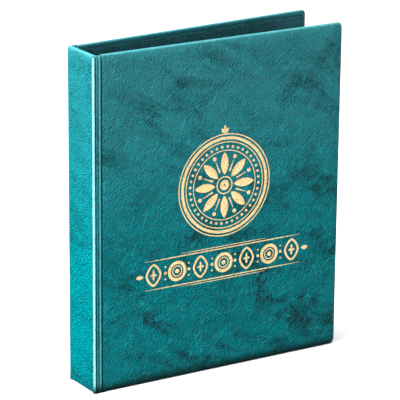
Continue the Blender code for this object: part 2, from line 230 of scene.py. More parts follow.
def leatherette(name, plane, bright, dark, gloss=0.36, dark_amount=0.88, bump=1.0, painted_light_shade=True, bottom_shade_amount=0.97, shine=0.025):
    """Marbled leatherette: dark smudges printed over a crinkled, diagonally drawn grain with fine creases."""
    t = Tree(name)
    p, pos = sheet_plane(t, plane)
    # slow drift that bends every layer, so that nothing runs straight
    q = t.shift(p, t.noise3(p, 0.022, 2.0), 26.0)
    g = t.shift(t.shift(p, t.noise3(p, 0.030, 1.0), 11.0), t.noise3(p, 0.14, 1.0), 1.5)

    s = t.node("ShaderNodeSeparateXYZ")
    t.put(s.inputs[0], pos)
    height = t.math("MULTIPLY", s.outputs[2], 1000.0)

    # marbling: long smudges falling to the right, shorter ones rising, and upright blots lower down
    falling = t.noise(t.drawn(q, -24, 2.8, 0.8), 0.055, 4.0, 0.6)
    rising = t.noise(t.drawn(q, 38, 2.0, 0.8, (31, 7, 0)), 0.065, 4.0, 0.6)
    upright = t.noise(t.drawn(q, 80, 1.6, 0.8, (55, 23, 0)), 0.06, 4.0, 0.62)
    cloud = t.noise(p, 0.014, 2.0, 0.5)
    low = t.ramp(height, 70.0, 190.0, 1.0, 0.0)
    smudge = t.math("ADD", t.ramp(falling, 0.45, 0.68), t.math("MULTIPLY", t.ramp(rising, 0.49, 0.72), 0.75))
    smudge = t.math("ADD", smudge, t.math("MULTIPLY", t.ramp(upright, 0.50, 0.72), t.math("MULTIPLY", low, 0.8)))
    smudge = t.math("MULTIPLY", smudge, t.ramp(cloud, 0.34, 0.60, 0.45, 1.0))
    smudge = t.math("MULTIPLY", smudge, t.math("MULTIPLY_ADD", low, 0.35, 0.75))

    # grain: pebbles drawn out along the diagonal, with valleys between them, and long fine creases
    drawn = t.drawn(g, 40, 1.40, 0.85)
    pebble = t.voronoi(drawn, 0.74, "SMOOTH_F1", 0.3)
    # the same pebbles looked up one step toward the light, to paint light and shade on their sides
    over = t.node("ShaderNodeVectorMath", operation="ADD")
    t.put(over.inputs[0], g)
    over.inputs[1].default_value = (-0.36, 0.40, 0.0)
    pebble_toward_light = t.voronoi(t.drawn(over.outputs[0], 40, 1.40, 0.85), 0.74, "SMOOTH_F1", 0.3)
    valley = t.ramp(t.voronoi(drawn, 0.74, "DISTANCE_TO_EDGE"), 0.0, 0.16, 1.0, 0.0)
    valley = t.math("MULTIPLY", valley, t.ramp(t.noise(p, 0.30, 2.0), 0.38, 0.62, 0.15, 1.0))
    fine = t.voronoi(t.drawn(g, 36, 1.3, 0.85), 1.25, "SMOOTH_F1", 0.4)
    fibre = t.noise(t.drawn(g, 42, 2.4, 0.6), 0.75, 3.0, 0.6)
    c1 = t.noise(t.drawn(q, 33, 2.6, 0.75, (3, 90, 0)), 0.12, 1.5, 0.4, 0.3)
    c2 = t.noise(t.drawn(q, 52, 2.2, 0.8, (77, 12, 0)), 0.10, 1.5, 0.4, 0.4)
    line1 = t.ramp(t.math("ABSOLUTE", t.math("SUBTRACT", c1, 0.5)), 0.0, 0.010, 1.0, 0.0)
    line2 = t.ramp(t.math("ABSOLUTE", t.math("SUBTRACT", c2, 0.52)), 0.0, 0.008, 1.0, 0.0)
    crease = t.math("MAXIMUM", line1, t.math("MULTIPLY", line2, 0.8))
    web = t.ramp(t.voronoi(t.drawn(t.shift(p, t.noise3(p, 0.10, 2.0), 9.0), 36, 1.5, 0.8), 0.125, "DISTANCE_TO_EDGE"), 0.0, 0.045, 1.0, 0.0)
    web = t.math("MULTIPLY", web, t.ramp(t.noise(p, 0.11, 2.0), 0.46, 0.60))
    crease = t.math("MAXIMUM", t.math("MULTIPLY", crease, t.ramp(t.noise(p, 0.045, 1.0), 0.42, 0.58)), t.math("MULTIPLY", web, 0.9))

    # the dark ink sits in the hollows of the grain; one side of every pebble is painted light and the other painted
    # shade, as if lit from one side
    hollow = t.ramp(pebble, 0.2, 0.75)
    sunk = t.math("ADD", t.math("MULTIPLY", hollow, 0.55), t.math("MULTIPLY", valley, 0.6), clamp=True)
    ink = t.math("MULTIPLY", smudge, t.math("MULTIPLY_ADD", sunk, 0.8, 0.42), clamp=True)
    ink = t.math("MULTIPLY", ink, dark_amount, clamp=True)
    pebble_painted_light = t.math("MULTIPLY", t.math("SUBTRACT", pebble, pebble_toward_light), 2.1)
    tone = t.math("ADD", t.math("MULTIPLY_ADD", t.math("SUBTRACT", fibre, 0.5), 0.9, 0.42), pebble_painted_light)
    tone = t.math("ADD", tone, t.math("MULTIPLY", valley, 0.22), clamp=True)
    pale = tuple(min(1.0, v * 1.62) for v in bright)
    deep = tuple(v * 0.36 for v in bright)
    colour = t.mix(tone, pale, deep)
    # painted sheen: a little greyer towards the top
    sheen_grey = 0.03 if plane == "spine" else 0.06
    colour = t.mix(t.ramp(height, 90.0, 270.0, 0.0, 0.30), colour, tuple(v * 0.9 + sheen_grey * (i == 0) for i, v in enumerate(bright)))
    # painted shade: the covers darker towards the bottom
    if plane != "spine":
        colour = t.mix(t.ramp(height, 90.0, 230.0, 0.16, 0.0), colour, tuple(v * 0.1 for v in bright))
    colour = t.mix(ink, colour, dark)
    colour = t.mix(t.math("MULTIPLY", crease, t.math("MULTIPLY_ADD", low, 0.08, 0.16 if plane == "spine" else 0.40)), colour, tuple(min(1.0, v * 2.4 + 0.015) for v in bright))
    rough = t.math("ADD", t.math("MULTIPLY_ADD", fibre, 0.16, gloss - 0.08), t.math("MULTIPLY", ink, 0.10))
    a = t.math("MULTIPLY_ADD", s.outputs[0], 1000.0, -XS / MM)
    round_corner = t.math("ADD", t.math("ABSOLUTE", a), t.math("ABSOLUTE", t.math("SUBTRACT", DEPTH / 2 / MM, t.math("MULTIPLY", t.math("ABSOLUTE", s.outputs[1]), 1000.0))))
    # painted highlight along the rounded corner between the spine and the cover
    if painted_light_shade:
        colour = t.mix(t.ramp(round_corner, 0.55, 1.9, 0.92, 0.0), colour, tuple(min(1.0, v * 2.4 + 0.26) for v in bright))
    if painted_light_shade and plane != "spine":
        # painted highlight on the lit sides of the hinge ridges, painted shade in the scored lines and along the free
        # edge

        def band(centre, width, amount):
            k = t.math("ABSOLUTE", t.math("SUBTRACT", a, centre))
            return t.ramp(k, 0.0, width, amount, 0.0)

        light = t.math("MAXIMUM", band(5.9, 0.95, 0.62), band(3.3, 0.6, 0.22))
        painted_shade_bands = t.math("MAXIMUM", band(2.2, 0.9, 0.72), t.math("MAXIMUM", band(7.75, 1.1, 0.88), band(4.4, 0.6, 0.45)))
        colour = t.mix(light, colour, tuple(min(1.0, v * 2.2 + 0.16) for v in bright))
        # painted shade along the free edge, where its rounding turns away from the light
        painted_shade_bands = t.math("MAXIMUM", painted_shade_bands, band(LENGTH / MM + 0.4, 1.7, 0.75))
        colour = t.mix(painted_shade_bands, colour, tuple(v * 0.18 for v in bright))
        # painted shade: the turned-in side of the leather, inside the album, is darker
        depth = t.math("SUBTRACT", t.math("MULTIPLY_ADD", a, 0.037, DEPTH / 2 / MM), t.math("MULTIPLY", t.math("ABSOLUTE", s.outputs[1]), 1000.0))
        colour = t.mix(t.ramp(depth, 2.0, 3.6, 0.0, 0.45), colour, tuple(v * 0.30 for v in bright))
    # painted highlight along the fold over the top edge, and a paler band below it
    wobble = t.math("MULTIPLY_ADD", t.noise(p, 0.35, 2.0), 2.0, -1.0)
    top = t.ramp(t.math("ADD", height, t.math("MULTIPLY", wobble, 0.5)), HEIGHT / MM - 1.9, HEIGHT / MM - 0.3, 0.0, 0.75)
    colour = t.mix(top, colour, tuple(min(1.0, v * 2.0 + 0.10) for v in bright))
    colour = t.mix(t.ramp(t.math("ADD", height, wobble), HEIGHT / MM - 8.5, HEIGHT / MM - 1.0, 0.0, 0.30), colour, tuple(min(1.0, v * 1.7 + 0.05) for v in bright))
    # painted shade along the standing bottom edge
    painted_bottom_shade = t.ramp(t.math("ADD", height, wobble), 0.8, 10.0, bottom_shade_amount, 0.0)
    colour = t.mix(painted_bottom_shade, colour, tuple(v * 0.06 for v in bright))

    h = t.math("SUBTRACT", 1.0, pebble)
    h = t.math("ADD", h, t.math("MULTIPLY", valley, -0.55))
    h = t.math("ADD", h, t.math("MULTIPLY", t.math("SUBTRACT", 1.0, fine), 0.30))
    h = t.math("ADD", h, t.math("MULTIPLY", fibre, 0.8))
    h = t.math("ADD", h, t.math("MULTIPLY", crease, 0.8))
    n = t.bump(h, 1.0 * bump, 0.00036)
    slow = t.noise(t.drawn(q, 38, 1.6, 0.8), 0.16, 3.0, 0.5)
    n = t.bump(slow, 0.6 * bump, 0.0016, n)
    t.set(color=colour, rough=rough, normal=n, spec=shine)
    return t.m


TEAL = (0.0003, 0.142, 0.161)
INK = (0.0030, 0.018, 0.022)
M_FRONT = leatherette("teal_leatherette_front", "front", TEAL, INK)
M_BACK = leatherette("teal_leatherette_back", "back", TEAL, INK)
M_SPINE = leatherette("teal_leatherette_spine", "spine", TEAL, INK, dark_amount=0.6, bottom_shade_amount=0.15, shine=0.0)
M_LINER_F = leatherette("teal_lining_front", "front", (0.0004, 0.088, 0.102), (0.001, 0.016, 0.020), gloss=0.5, bump=0.6, painted_light_shade=False, bottom_shade_amount=0.3, shine=0.04)
M_LINER_B = leatherette("teal_lining_back", "back", (0.0004, 0.088, 0.102), (0.001, 0.016, 0.020), gloss=0.5, bump=0.6, painted_light_shade=False, bottom_shade_amount=0.3, shine=0.04)
M_LINER_S = leatherette("teal_lining_spine", "spine", (0.0004, 0.088, 0.102), (0.001, 0.016, 0.020), gloss=0.5, bump=0.6, painted_light_shade=False, bottom_shade_amount=0.3, shine=0.04)


def gilt():
    """Hot-stamped gold foil that broke up a little over the grain."""
    t = Tree("gilt_foil")
    p, _ = sheet_plane(t, "front")
    speck = t.noise(t.drawn(p, 38, 1.4, 0.8), 1.1, 3.0, 0.65)
    patch = t.noise(p, 0.25, 2.0)
    worn = t.ramp(speck, 0.46, 0.60)
    colour = t.mix(worn, (0.78, 0.60, 0.30), (0.42, 0.25, 0.08))
    colour = t.mix(t.math("MULTIPLY", t.ramp(patch, 0.45, 0.7), 0.35), colour, (0.84, 0.66, 0.34))
    rough = t.ramp(speck, 0.3, 0.7, 0.30, 0.55)
    n = t.bump(speck, 0.35, 0.0002)
    t.set(color=colour, rough=rough, normal=n, spec=0.5)
    t.set(metal=0.6)
    return t.m


def greyboard():
    t = Tree("grey_board")
    pos = t.node("ShaderNodeTexCoord").outputs["Object"]
    pulp = t.noise(pos, 900.0, 4.0, 0.65)
    fleck = t.noise(pos, 2600.0, 1.0)
    colour = t.mix(pulp, (0.40, 0.37, 0.32), (0.27, 0.25, 0.22))
    colour = t.mix(t.ramp(fleck, 0.62, 0.72), colour, (0.14, 0.13, 0.12))
    n = t.bump(pulp, 0.4, 0.0002)
    t.set(color=colour, rough=0.92, normal=n, spec=0.25)
    return t.m


def nickel(name="nickel", base=(0.72, 0.71, 0.69), rough=0.16, brushed=None):
    t = Tree(name)
    pos = t.node("ShaderNodeTexCoord").outputs["Object"]
    smear = t.noise(pos, 160.0, 3.0, 0.6)
    if brushed:
        lines = t.noise(t.place(pos, scale=brushed), 1.0, 4.0, 0.6)
    else:
        lines = t.noise(pos, 2200.0, 2.0, 0.5)
    colour = t.mix(smear, base, tuple(v * 0.84 for v in base))
    rr = t.math("ADD", t.math("MULTIPLY_ADD", smear, 0.14, rough - 0.05), t.math("MULTIPLY", lines, 0.08))
    n = t.bump(lines, 0.12, 0.00008)
    t.set(color=colour, rough=rr, normal=n)
    t.set(metal=1.0)
    return t.m


def film(name, alpha, tint, rough, ripple):
    t = Tree(name)
    pos = t.node("ShaderNodeTexCoord").outputs["Object"]
    wave = t.noise(t.place(pos, scale=(1, 1, 0.6)), 28.0, 3.0, 0.5)
    haze = t.noise(pos, 260.0, 3.0, 0.6)
    colour = t.mix(haze, tint, tuple(v * 0.9 for v in tint))
    rr = t.ramp(haze, 0.3, 0.7, rough * 0.8, rough * 1.3)
    n = t.bump(wave, ripple, 0.002)
    t.set(color=colour, rough=rr, normal=n, spec=0.6)
    t.p.inputs["Alpha"].default_value = alpha
    return t.m


M_GILT = gilt()
M_BOARD = greyboard()
M_NICKEL = nickel()
M_STEEL = nickel("spring_steel", (0.55, 0.55, 0.56), 0.3, brushed=(4000.0, 400.0, 60.0))
M_FILM = film("clear_film", 0.11, (0.86, 0.92, 0.93), 0.10, 0.5)
M_WELD = film("film_welds", 0.42, (0.80, 0.86, 0.88), 0.32, 0.3)

# ------------------------------------------------------------------ mesh helpers


def piece(name, verts, faces, material, body, nodes=(), angle=40, smooth=True):
    mesh = bpy.data.meshes.new(name)
    mesh.from_pydata([tuple(v) for v in verts], [], faces)
    bm = bmesh.new()
    bm.from_mesh(mesh)
    bmesh.ops.remove_doubles(bm, verts=bm.verts, dist=2e-7)
    bmesh.ops.dissolve_degenerate(bm, edges=bm.edges, dist=1e-7)
    bmesh.ops.recalc_face_normals(bm, faces=bm.faces)
    bm.to_mesh(mesh)
    bm.free()
    return dress(mesh, name, material, body, nodes, angle, smooth)


def dress(mesh, name, material, body, nodes=(), angle=40, smooth=True):
    mesh.materials.clear()
    mesh.materials.append(material)
    if smooth:
        mesh.shade_smooth()
        mesh.set_sharp_from_angle(angle=radians(angle))
    obj = bpy.data.objects.new(name, mesh)
    bpy.context.scene.collection.objects.link(obj)
    if body is not None:
        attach(obj, body)
    for n in nodes:
        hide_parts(n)
    return obj


def smooth01(t):
    t = max(0.0, min(1.0, t))
    return t * t * (3 - 2 * t)


def place(side, x, y, z, turn=1.0):
    """A point given along a cover, in from its outer face, and up, in the row frame at rest."""
    a = side * SPLAY * turn
    u, v = x - AX1, side * (AX1 - y)
    return (
        XS + AX1 + u * cos(a) - v * sin(a),
        side * (DEPTH / 2 - AX1) + u * sin(a) + v * cos(a),
        z,
    )


def ripple(u, z, seed=0.0):
    """Slow unevenness of the wrapped board, in metres, u along the wrap."""
    a = noise.noise((u * 22.0 + seed, z * 18.0, seed * 1.7)) * 0.085
    b = noise.noise((u * 70.0 + seed, z * 62.0, 3.1 + seed)) * 0.028
    return (a + b) * MM


def levels(lo, hi, step, ends=()):
    """Rising stations from lo to hi: the given offsets near both ends, and even steps between."""
    inner0, inner1 = lo + (ends[-1] if ends else 0), hi - (ends[-1] if ends else 0)
    n = max(1, round((inner1 - inner0) / step))
    mid = [inner0 + (inner1 - inner0) * i / n for i in range(n + 1)]
    return [lo + e for e in ends[:-1]] + mid + [hi - e for e in reversed(ends[:-1])]


# ------------------------------------------------------------------ covers

EDGE_OUT = 1.6 * MM             # rounding of the leather over the board's outer edge
EDGE_IN = 1.0 * MM
CROWN = 0.95 * MM               # the face sinks by this towards its edges
CROWN_RUN = 9.5 * MM
X_H = 8.9 * MM                  # the cover's own skin starts here, past the second groove


def crown(s):
    t = max(0.0, min(1.0, 1 - s / CROWN_RUN))
    return CROWN * t * t


def cover(word, side, material, liner):
    """The leather round one board, as a closed shell with a recess for the lining; it also returns the outline of a
    hollow for the board, which is not built.
    """
    seed = 5.0 if side < 0 else 11.0
    x1 = LENGTH
    step = 1.6 * MM
    R = CORNER + 6.5 * MM                      # the rim's loops reach this far in
    xs = levels(X_H, x1 - R, step, (0, 0.25 * MM, 0.6 * MM, 1.1 * MM, 2.0 * MM))
    xs = [x for x in xs if x <= x1 - R + 1e-9]
    zs = levels(R, HEIGHT - R, step)
    K = 7

    def loop(inset, y_of):
        """An open line along the bottom, the free edge and the top, at one distance in from the edges."""
        pts = []
        r = max(0.0, CORNER - inset)
        cx, cz0, cz1 = x1 - max(CORNER, inset), max(CORNER, inset), HEIGHT - max(CORNER, inset)
        for x in xs:
            pts.append((min(x, x1) if x < xs[-1] else xs[-1], inset))
        # straight run from the last grid column to the corner, then the corner, then up
        for k in range(1, K):
            t = k / K
            pts.append(corner_point(t, inset, cx, cz0, r, 0))
        for z in zs:
            pts.append((x1 - inset, z))
        for k in range(1, K):
            t = k / K
            pts.append(corner_point(t, inset, cx, cz1, r, 1))
        for x in reversed(xs):
            pts.append((x, HEIGHT - inset))
        return [(x, y_of(x, z), z) for x, z in pts]

    def corner_point(t, inset, cx, cz, r, top):
        """From the bottom run's end to the free edge's start, round the corner."""
        # the path: straight to the arc, the arc, straight on; each third of the steps
        ax, az = xs[-1], (inset if not top else HEIGHT - inset)
        bx, bz = x1 - inset, (zs[0] if not top else zs[-1])
        path = []
        if not top:
            path.append((ax, az))
            n = 5
            for i in range(n + 1):
                a = radians(-90 + 90 * i / n)
                path.append((cx + r * cos(a), cz + r * sin(a)))
            path.append((bx, bz))
        else:
            path.append((bx, bz))
            n = 5
            for i in range(n + 1):
                a = radians(90 * i / n)
                path.append((cx + r * cos(a), cz + r * sin(a)))
            path.append((ax, az))
        table = {1: 0.55, 2: 1.0, 3: 2.9, 4: 4.1, 5: 6.0, 6: 6.45}
        s = table[round(t * K)]
        i = min(int(s), len(path) - 2)
        f = s - i
        return (path[i][0] + (path[i + 1][0] - path[i][0]) * f, path[i][1] + (path[i + 1][1] - path[i][1]) * f)

    def face_y(x, z):
        s = min(x1 - x, z, HEIGHT - z)
        # corners sink a little more evenly than the nearest edge alone gives
        a, b, c = x1 - x, z, HEIGHT - z
        near = crown(a) + crown(min(b, c)) * (1 - crown(a) / CROWN * 0.75)
        edge = smooth01((x - X_H) / (2.2 * MM))
        flat = near * (0.35 + 0.65 * edge)
        return flat + groove(x) + ripple(x, z, seed) * smooth01(s / (3 * MM))

    rows = []
    grid = [[(x, face_y(x, z), z) for x in xs] for z in zs]
    # outer rim: loops from the grid outwards, over the edge, then the turned-in lip
    insets = [5.4 * MM, 4.0 * MM, 3.0 * MM, 2.2 * MM, EDGE_OUT]
    loops = []
    for i in [R] + insets:
        if i == R:
            continue
        loops.append(loop(i, face_y))
    base = crown(EDGE_OUT)
    for k in range(1, 7):
        a = radians(90 * k / 6)
        inset = EDGE_OUT * (1 - sin(a))
        drop = EDGE_OUT * (1 - cos(a))

        def y_edge(x, z, drop=drop, a=a):
            start = face_y(min(x, x1 - EDGE_OUT), min(max(z, EDGE_OUT), HEIGHT - EDGE_OUT))
            return start + drop
        loops.append(loop(inset, y_edge))
    for k in range(0, 6):
        a = radians(90 * k / 5)
        inset = EDGE_IN * (1 - cos(a))
        y = PANEL - EDGE_IN * (1 - sin(a))
        loops.append(loop(inset, lambda x, z, y=y: y))
    lip_y = PANEL
    for inset, y in ((2.4 * MM, lip_y + 0.02 * MM), (3.6 * MM, lip_y), (3.95 * MM, lip_y - 0.06 * MM), (4.05 * MM, lip_y - 0.3 * MM), (4.05 * MM, PANEL - 0.6 * MM)):
        loops.append(loop(inset, lambda x, z, y=y: y))

    verts, faces = [], []

    def add(points):
        start = len(verts)
        for x, y, z in points:
            verts.append(place(side, x, y, z))
        return list(range(start, start + len(points)))

    g = [add(row) for row in grid]
    for j in range(len(zs) - 1):
        for i in range(len(xs) - 1):
            faces.append((g[j][i], g[j][i + 1], g[j + 1][i + 1], g[j + 1][i]))
    nx, nz = len(xs), len(zs)
    inner = list(g[0]) + [g[0][-1]] * (K - 1) + [row[-1] for row in g] + [g[-1][-1]] * (K - 1) + list(reversed(g[-1]))
    previous = inner
    first_loop = None
    for line in loops:
        ids = add(line)
        if first_loop is None:
            first_loop = ids
        for i in range(len(ids) - 1):
            q = [previous[i], previous[i + 1], ids[i + 1], ids[i]]
            q = [v for n, v in enumerate(q) if v != q[n - 1]]
            if len(q) > 2:
                faces.append(tuple(q))
        previous = ids
        rows.append(ids)
    # recess floor under the lining
    faces.append(tuple(previous))
    # hinge end: the grid's first column with the loops' ends, one flat wall
    wall = [row[0] for row in reversed(g)]            # top to bottom, outer face
    low_end = [ids[0] for ids in rows]
    high_end = [ids[-1] for ids in rows]
    faces.append(tuple(wall + low_end + list(reversed(high_end))))
    # outline of a hollow for the board, returned but not built
    hx0, hx1, hz, r = 8.95 * MM, x1 - 0.75 * MM, 0.75 * MM, 2.7 * MM
    plan = [(hx0, hz)]
    for i in range(5):
        a = radians(-90 + 90 * i / 4)
        plan.append((hx1 - r + r * cos(a), hz + r + r * sin(a)))
    for i in range(5):
        a = radians(90 * i / 4)
        plan.append((hx1 - r + r * cos(a), HEIGHT - hz - r + r * sin(a)))
    plan.append((hx0, HEIGHT - hz))
    return verts, faces, plan


def groove(x):
    """How far the scored hinge sinks below the cover's face, x from the spine's outer face."""

    def dip(c, w, d):
        return d * exp(-(((x - c) / w) ** 2))

    mmx = x / MM
    if mmx > 12:
        return 0.0

    def g(c, w, d):
        return d * exp(-(((mmx - c) / w) ** 2))

    flat = 0.16 * smooth01((mmx - 1.4) / 0.8) * (1 - smooth01((mmx - 7.9) / 1.0))
    return (
        flat + g(2.1, 0.42, 0.62) + g(4.3, 0.32, 0.22) - g(5.9, 0.75, 0.10) + g(7.65, 0.60, 0.85) + g(9.0, 0.8, 0.05)
    ) * MM


fronts = {}
for word, side, material, liner in (("front", -1, M_FRONT, M_LINER_F), ("back", 1, M_BACK, M_LINER_B)):
    verts, faces, plan = cover(word, side, material, liner)
    piece(
        word + "_cover_wrap",
        verts,
        faces,
        material,
        word + "_cover",
        nodes=(word + "_skin",),
        angle=50,
    )
    # lining: a thin sheet with eased edges, set in the recess
    x0, x1_, z0, z1 = 9.2 * MM, LENGTH - 4.3 * MM, 4.3 * MM, HEIGHT - 4.3 * MM
    verts, faces = [], []
    rings = []
    for inset, y in (
        (0.0, 3.45),
        (0.0, 3.80),
        (0.10, 3.98),
        (0.35, 4.06),
        (1.2, 4.10),
        (3.0, 4.09),
    ):
        i = inset * MM
        pts = [(x0 + i, z0 + i), (x1_ - i, z0 + i), (x1_ - i, z1 - i), (x0 + i, z1 - i)]
        line = []
        for (ax, az), (bx, bz) in zip(pts, pts[1:] + pts[:1]):
            n = 24
            for k in range(n):
                t = k / n
                line.append((ax + (bx - ax) * t, az + (bz - az) * t))
        start = len(verts)
        verts += [place(side, x, y * MM, z) for x, z in line]
        rings.append(list(range(start, start + len(line))))
    for a, b in zip(rings, rings[1:]):
        for i in range(len(a)):
            j = (i + 1) % len(a)
            faces.append((a[i], a[j], b[j], b[i]))
    faces.append(tuple(rings[0]))
    faces.append(tuple(rings[-1]))
    piece(
        word + "_cover_lining",
        verts,
        faces,
        liner,
        word + "_cover",
        nodes=(word + "_lining",),
        angle=50,
    )

# ------------------------------------------------------------------ hinge leather

CR = 1.35 * MM                  # rounding of the spine's long edges
T_SHEET = 1.05 * MM             # doubled leather in the gutter


def outer_line():
    """The hinge leather's outer line from the spine's face to the cover: (x, y, nx, ny, turn) with n the inward normal."""
    pts = [(0.0, 2.6 * MM), (0.0, 2.2 * MM), (0.0, 1.8 * MM), (0.0, CR)]
    for i in range(1, 9):
        a = radians(90 * i / 8)
        pts.append((CR - CR * cos(a), CR - CR * sin(a)))
    x = CR
    while x < X_H - 0.12 * MM:
        x += 0.16 * MM
        pts.append((x, groove(x)))
    pts[-1] = (X_H, groove(X_H))
    out = []
    for i, (x, y) in enumerate(pts):
        ax, ay = pts[max(i - 1, 0)]
        bx, by = pts[min(i + 1, len(pts) - 1)]
        tx, ty = bx - ax, by - ay
        k = hypot(tx, ty)
        tx, ty = tx / k, ty / k
        out.append((x, y, -ty, tx))
    return out


def turned(x, y):
    """How much of the cover's splay a point of the hinge leather has."""
    return smooth01((x - y + 1.35 * MM) / (2.7 * MM)) if x < 1.6 * MM or y > 0.9 * MM else 1.0


LINE = outer_line()


def hinge_piece(name, side, first, last, material, nodes):
    line = LINE[first : last + 1]
    step = 2.5 * MM
    zs = levels(0, HEIGHT, step, (0, 0.04 * MM, 0.14 * MM, 0.3 * MM, 0.52 * MM, 0.9 * MM, 1.5 * MM))
    seed = 5.0 if side < 0 else 11.0
    verts, faces, rings = [], [], []
    half = T_SHEET / 2
    for z in zs:
        end_gap = min(z, HEIGHT - z)
        e = half - sqrt(max(0.0, half * half - (half - end_gap) ** 2)) if end_gap < half else 0.0
        e = min(e, half * 0.985)
        outer, inside = [], []
        for x, y, nx, ny in line:
            soft = 0.35 * crown(end_gap) * smooth01((x - 1.0 * MM) / (3 * MM)) if x > 1 * MM else 0.0
            w = ripple(x, z, seed) * smooth01((x - 1.0 * MM) / (6 * MM)) * smooth01(end_gap / (3 * MM))
            near = max(0.0, 1 - max(0.0, x + max(y, 0.0) - 0.8 * MM) / (2.4 * MM)) ** 2
            fall = near * smooth01(1 - end_gap / (5 * MM))
            zz = z - 1.25 * MM * fall if z > MID else z + 0.5 * MM * fall
            tr = turned(x, y)
            oy = y + soft + w
            outer.append(place(side, x + nx * e, oy + ny * e, zz, tr))
            # the inside follows the outside more gently, and turns the corner on its own radius
            if x < CR and y > 0:
                ix, iy = x + nx * (T_SHEET - e), oy + ny * (T_SHEET - e)
                ix = min(ix, T_SHEET + 0.0 * MM + max(0.0, x))
            else:
                depth = groove(x)
                ix = x
                iy = 0.35 * depth + T_SHEET + 0.06 * MM - e + w + soft
                mx = (x / MM)
                if mx < 2.6:
                    ix = x + (2.6 - mx) * 0.0 * MM
            inside.append(place(side, ix, iy, zz, tr))
        start_id = len(verts)
        verts += outer + list(reversed(inside))
        rings.append(list(range(start_id, len(verts))))
    for a, b in zip(rings, rings[1:]):
        for i in range(len(a)):
            j = (i + 1) % len(a)
            faces.append((a[i], a[j], b[j], b[i]))
    faces.append(tuple(rings[0]))
    faces.append(tuple(rings[-1]))
    obj = piece(name, verts, faces, material, None, angle=55)
    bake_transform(obj)
    for n in nodes:
        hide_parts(n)
    return obj


split = min(range(len(LINE)), key=lambda i: abs(LINE[i][0] - 4.9 * MM))
for word, side, material in (("front", -1, M_FRONT), ("back", 1, M_BACK)):
    hinge_piece(
        word + "_corner_leather",
        side,
        0,
        split,
        material,
        (word + "_hinge_strip",),
    )
    hinge_piece(
        word + "_gutter_leather",
        side,
        split,
        len(LINE) - 1,
        material,
        (),
    )

def rounded_bar(word, side):
    """The leather folded round the board's hinged end, as a closed bar."""
    x0, x1, y0, y1, r = 8.13 * MM, 9.32 * MM, 1.35 * MM, 4.05 * MM, 0.45 * MM
    line = []
    for cx, cy, a0 in ((x1 - r, y0 + r, 270), (x1 - r, y1 - r, 0), (x0 + r, y1 - r, 90), (x0 + r, y0 + r, 180)):
        for k in range(5):
            a = radians(a0 + 90 * k / 4)
            line.append((cx, cy, cos(a), sin(a)))
    verts, faces, rings = [], [], []
    for z in levels(0.02 * MM, HEIGHT - 0.02 * MM, 4 * MM, (0, 0.05 * MM, 0.15 * MM, 0.3 * MM, 0.5 * MM)):
        s = min(z, HEIGHT - z)
        e = 0.42 * MM * (1 - sqrt(max(0.0, 1 - (1 - min(1.0, s / (0.5 * MM))) ** 2)))
        start = len(verts)
        verts += [place(side, cx + (r - e) * u, cy + (r - e) * v, z) for cx, cy, u, v in line]
        rings.append(list(range(start, len(verts))))
    for a, b in zip(rings, rings[1:]):
        for i in range(len(a)):
            j = (i + 1) % len(a)
            faces.append((a[i], a[j], b[j], b[i]))
    faces.append(tuple(rings[0]))
    faces.append(tuple(rings[-1]))
    return verts, faces


for word, side, material in (("front", -1, M_LINER_F), ("back", 1, M_LINER_B)):
    verts, faces = rounded_bar(word, side)
    piece(word + "_end_fold", verts, faces, material, word + "_cover", angle=50)

# ------------------------------------------------------------------ gold stamping

FOIL = 0.07 * MM
FRONT_FACE = {}


def front_depth(x, z):
    """Depth of the front cover's leather below its flat face."""
    s = min(LENGTH - x, z, HEIGHT - z)
    return groove(x) + ripple(x, z, 5.0) * smooth01(s / (3 * MM)) + crown(s)


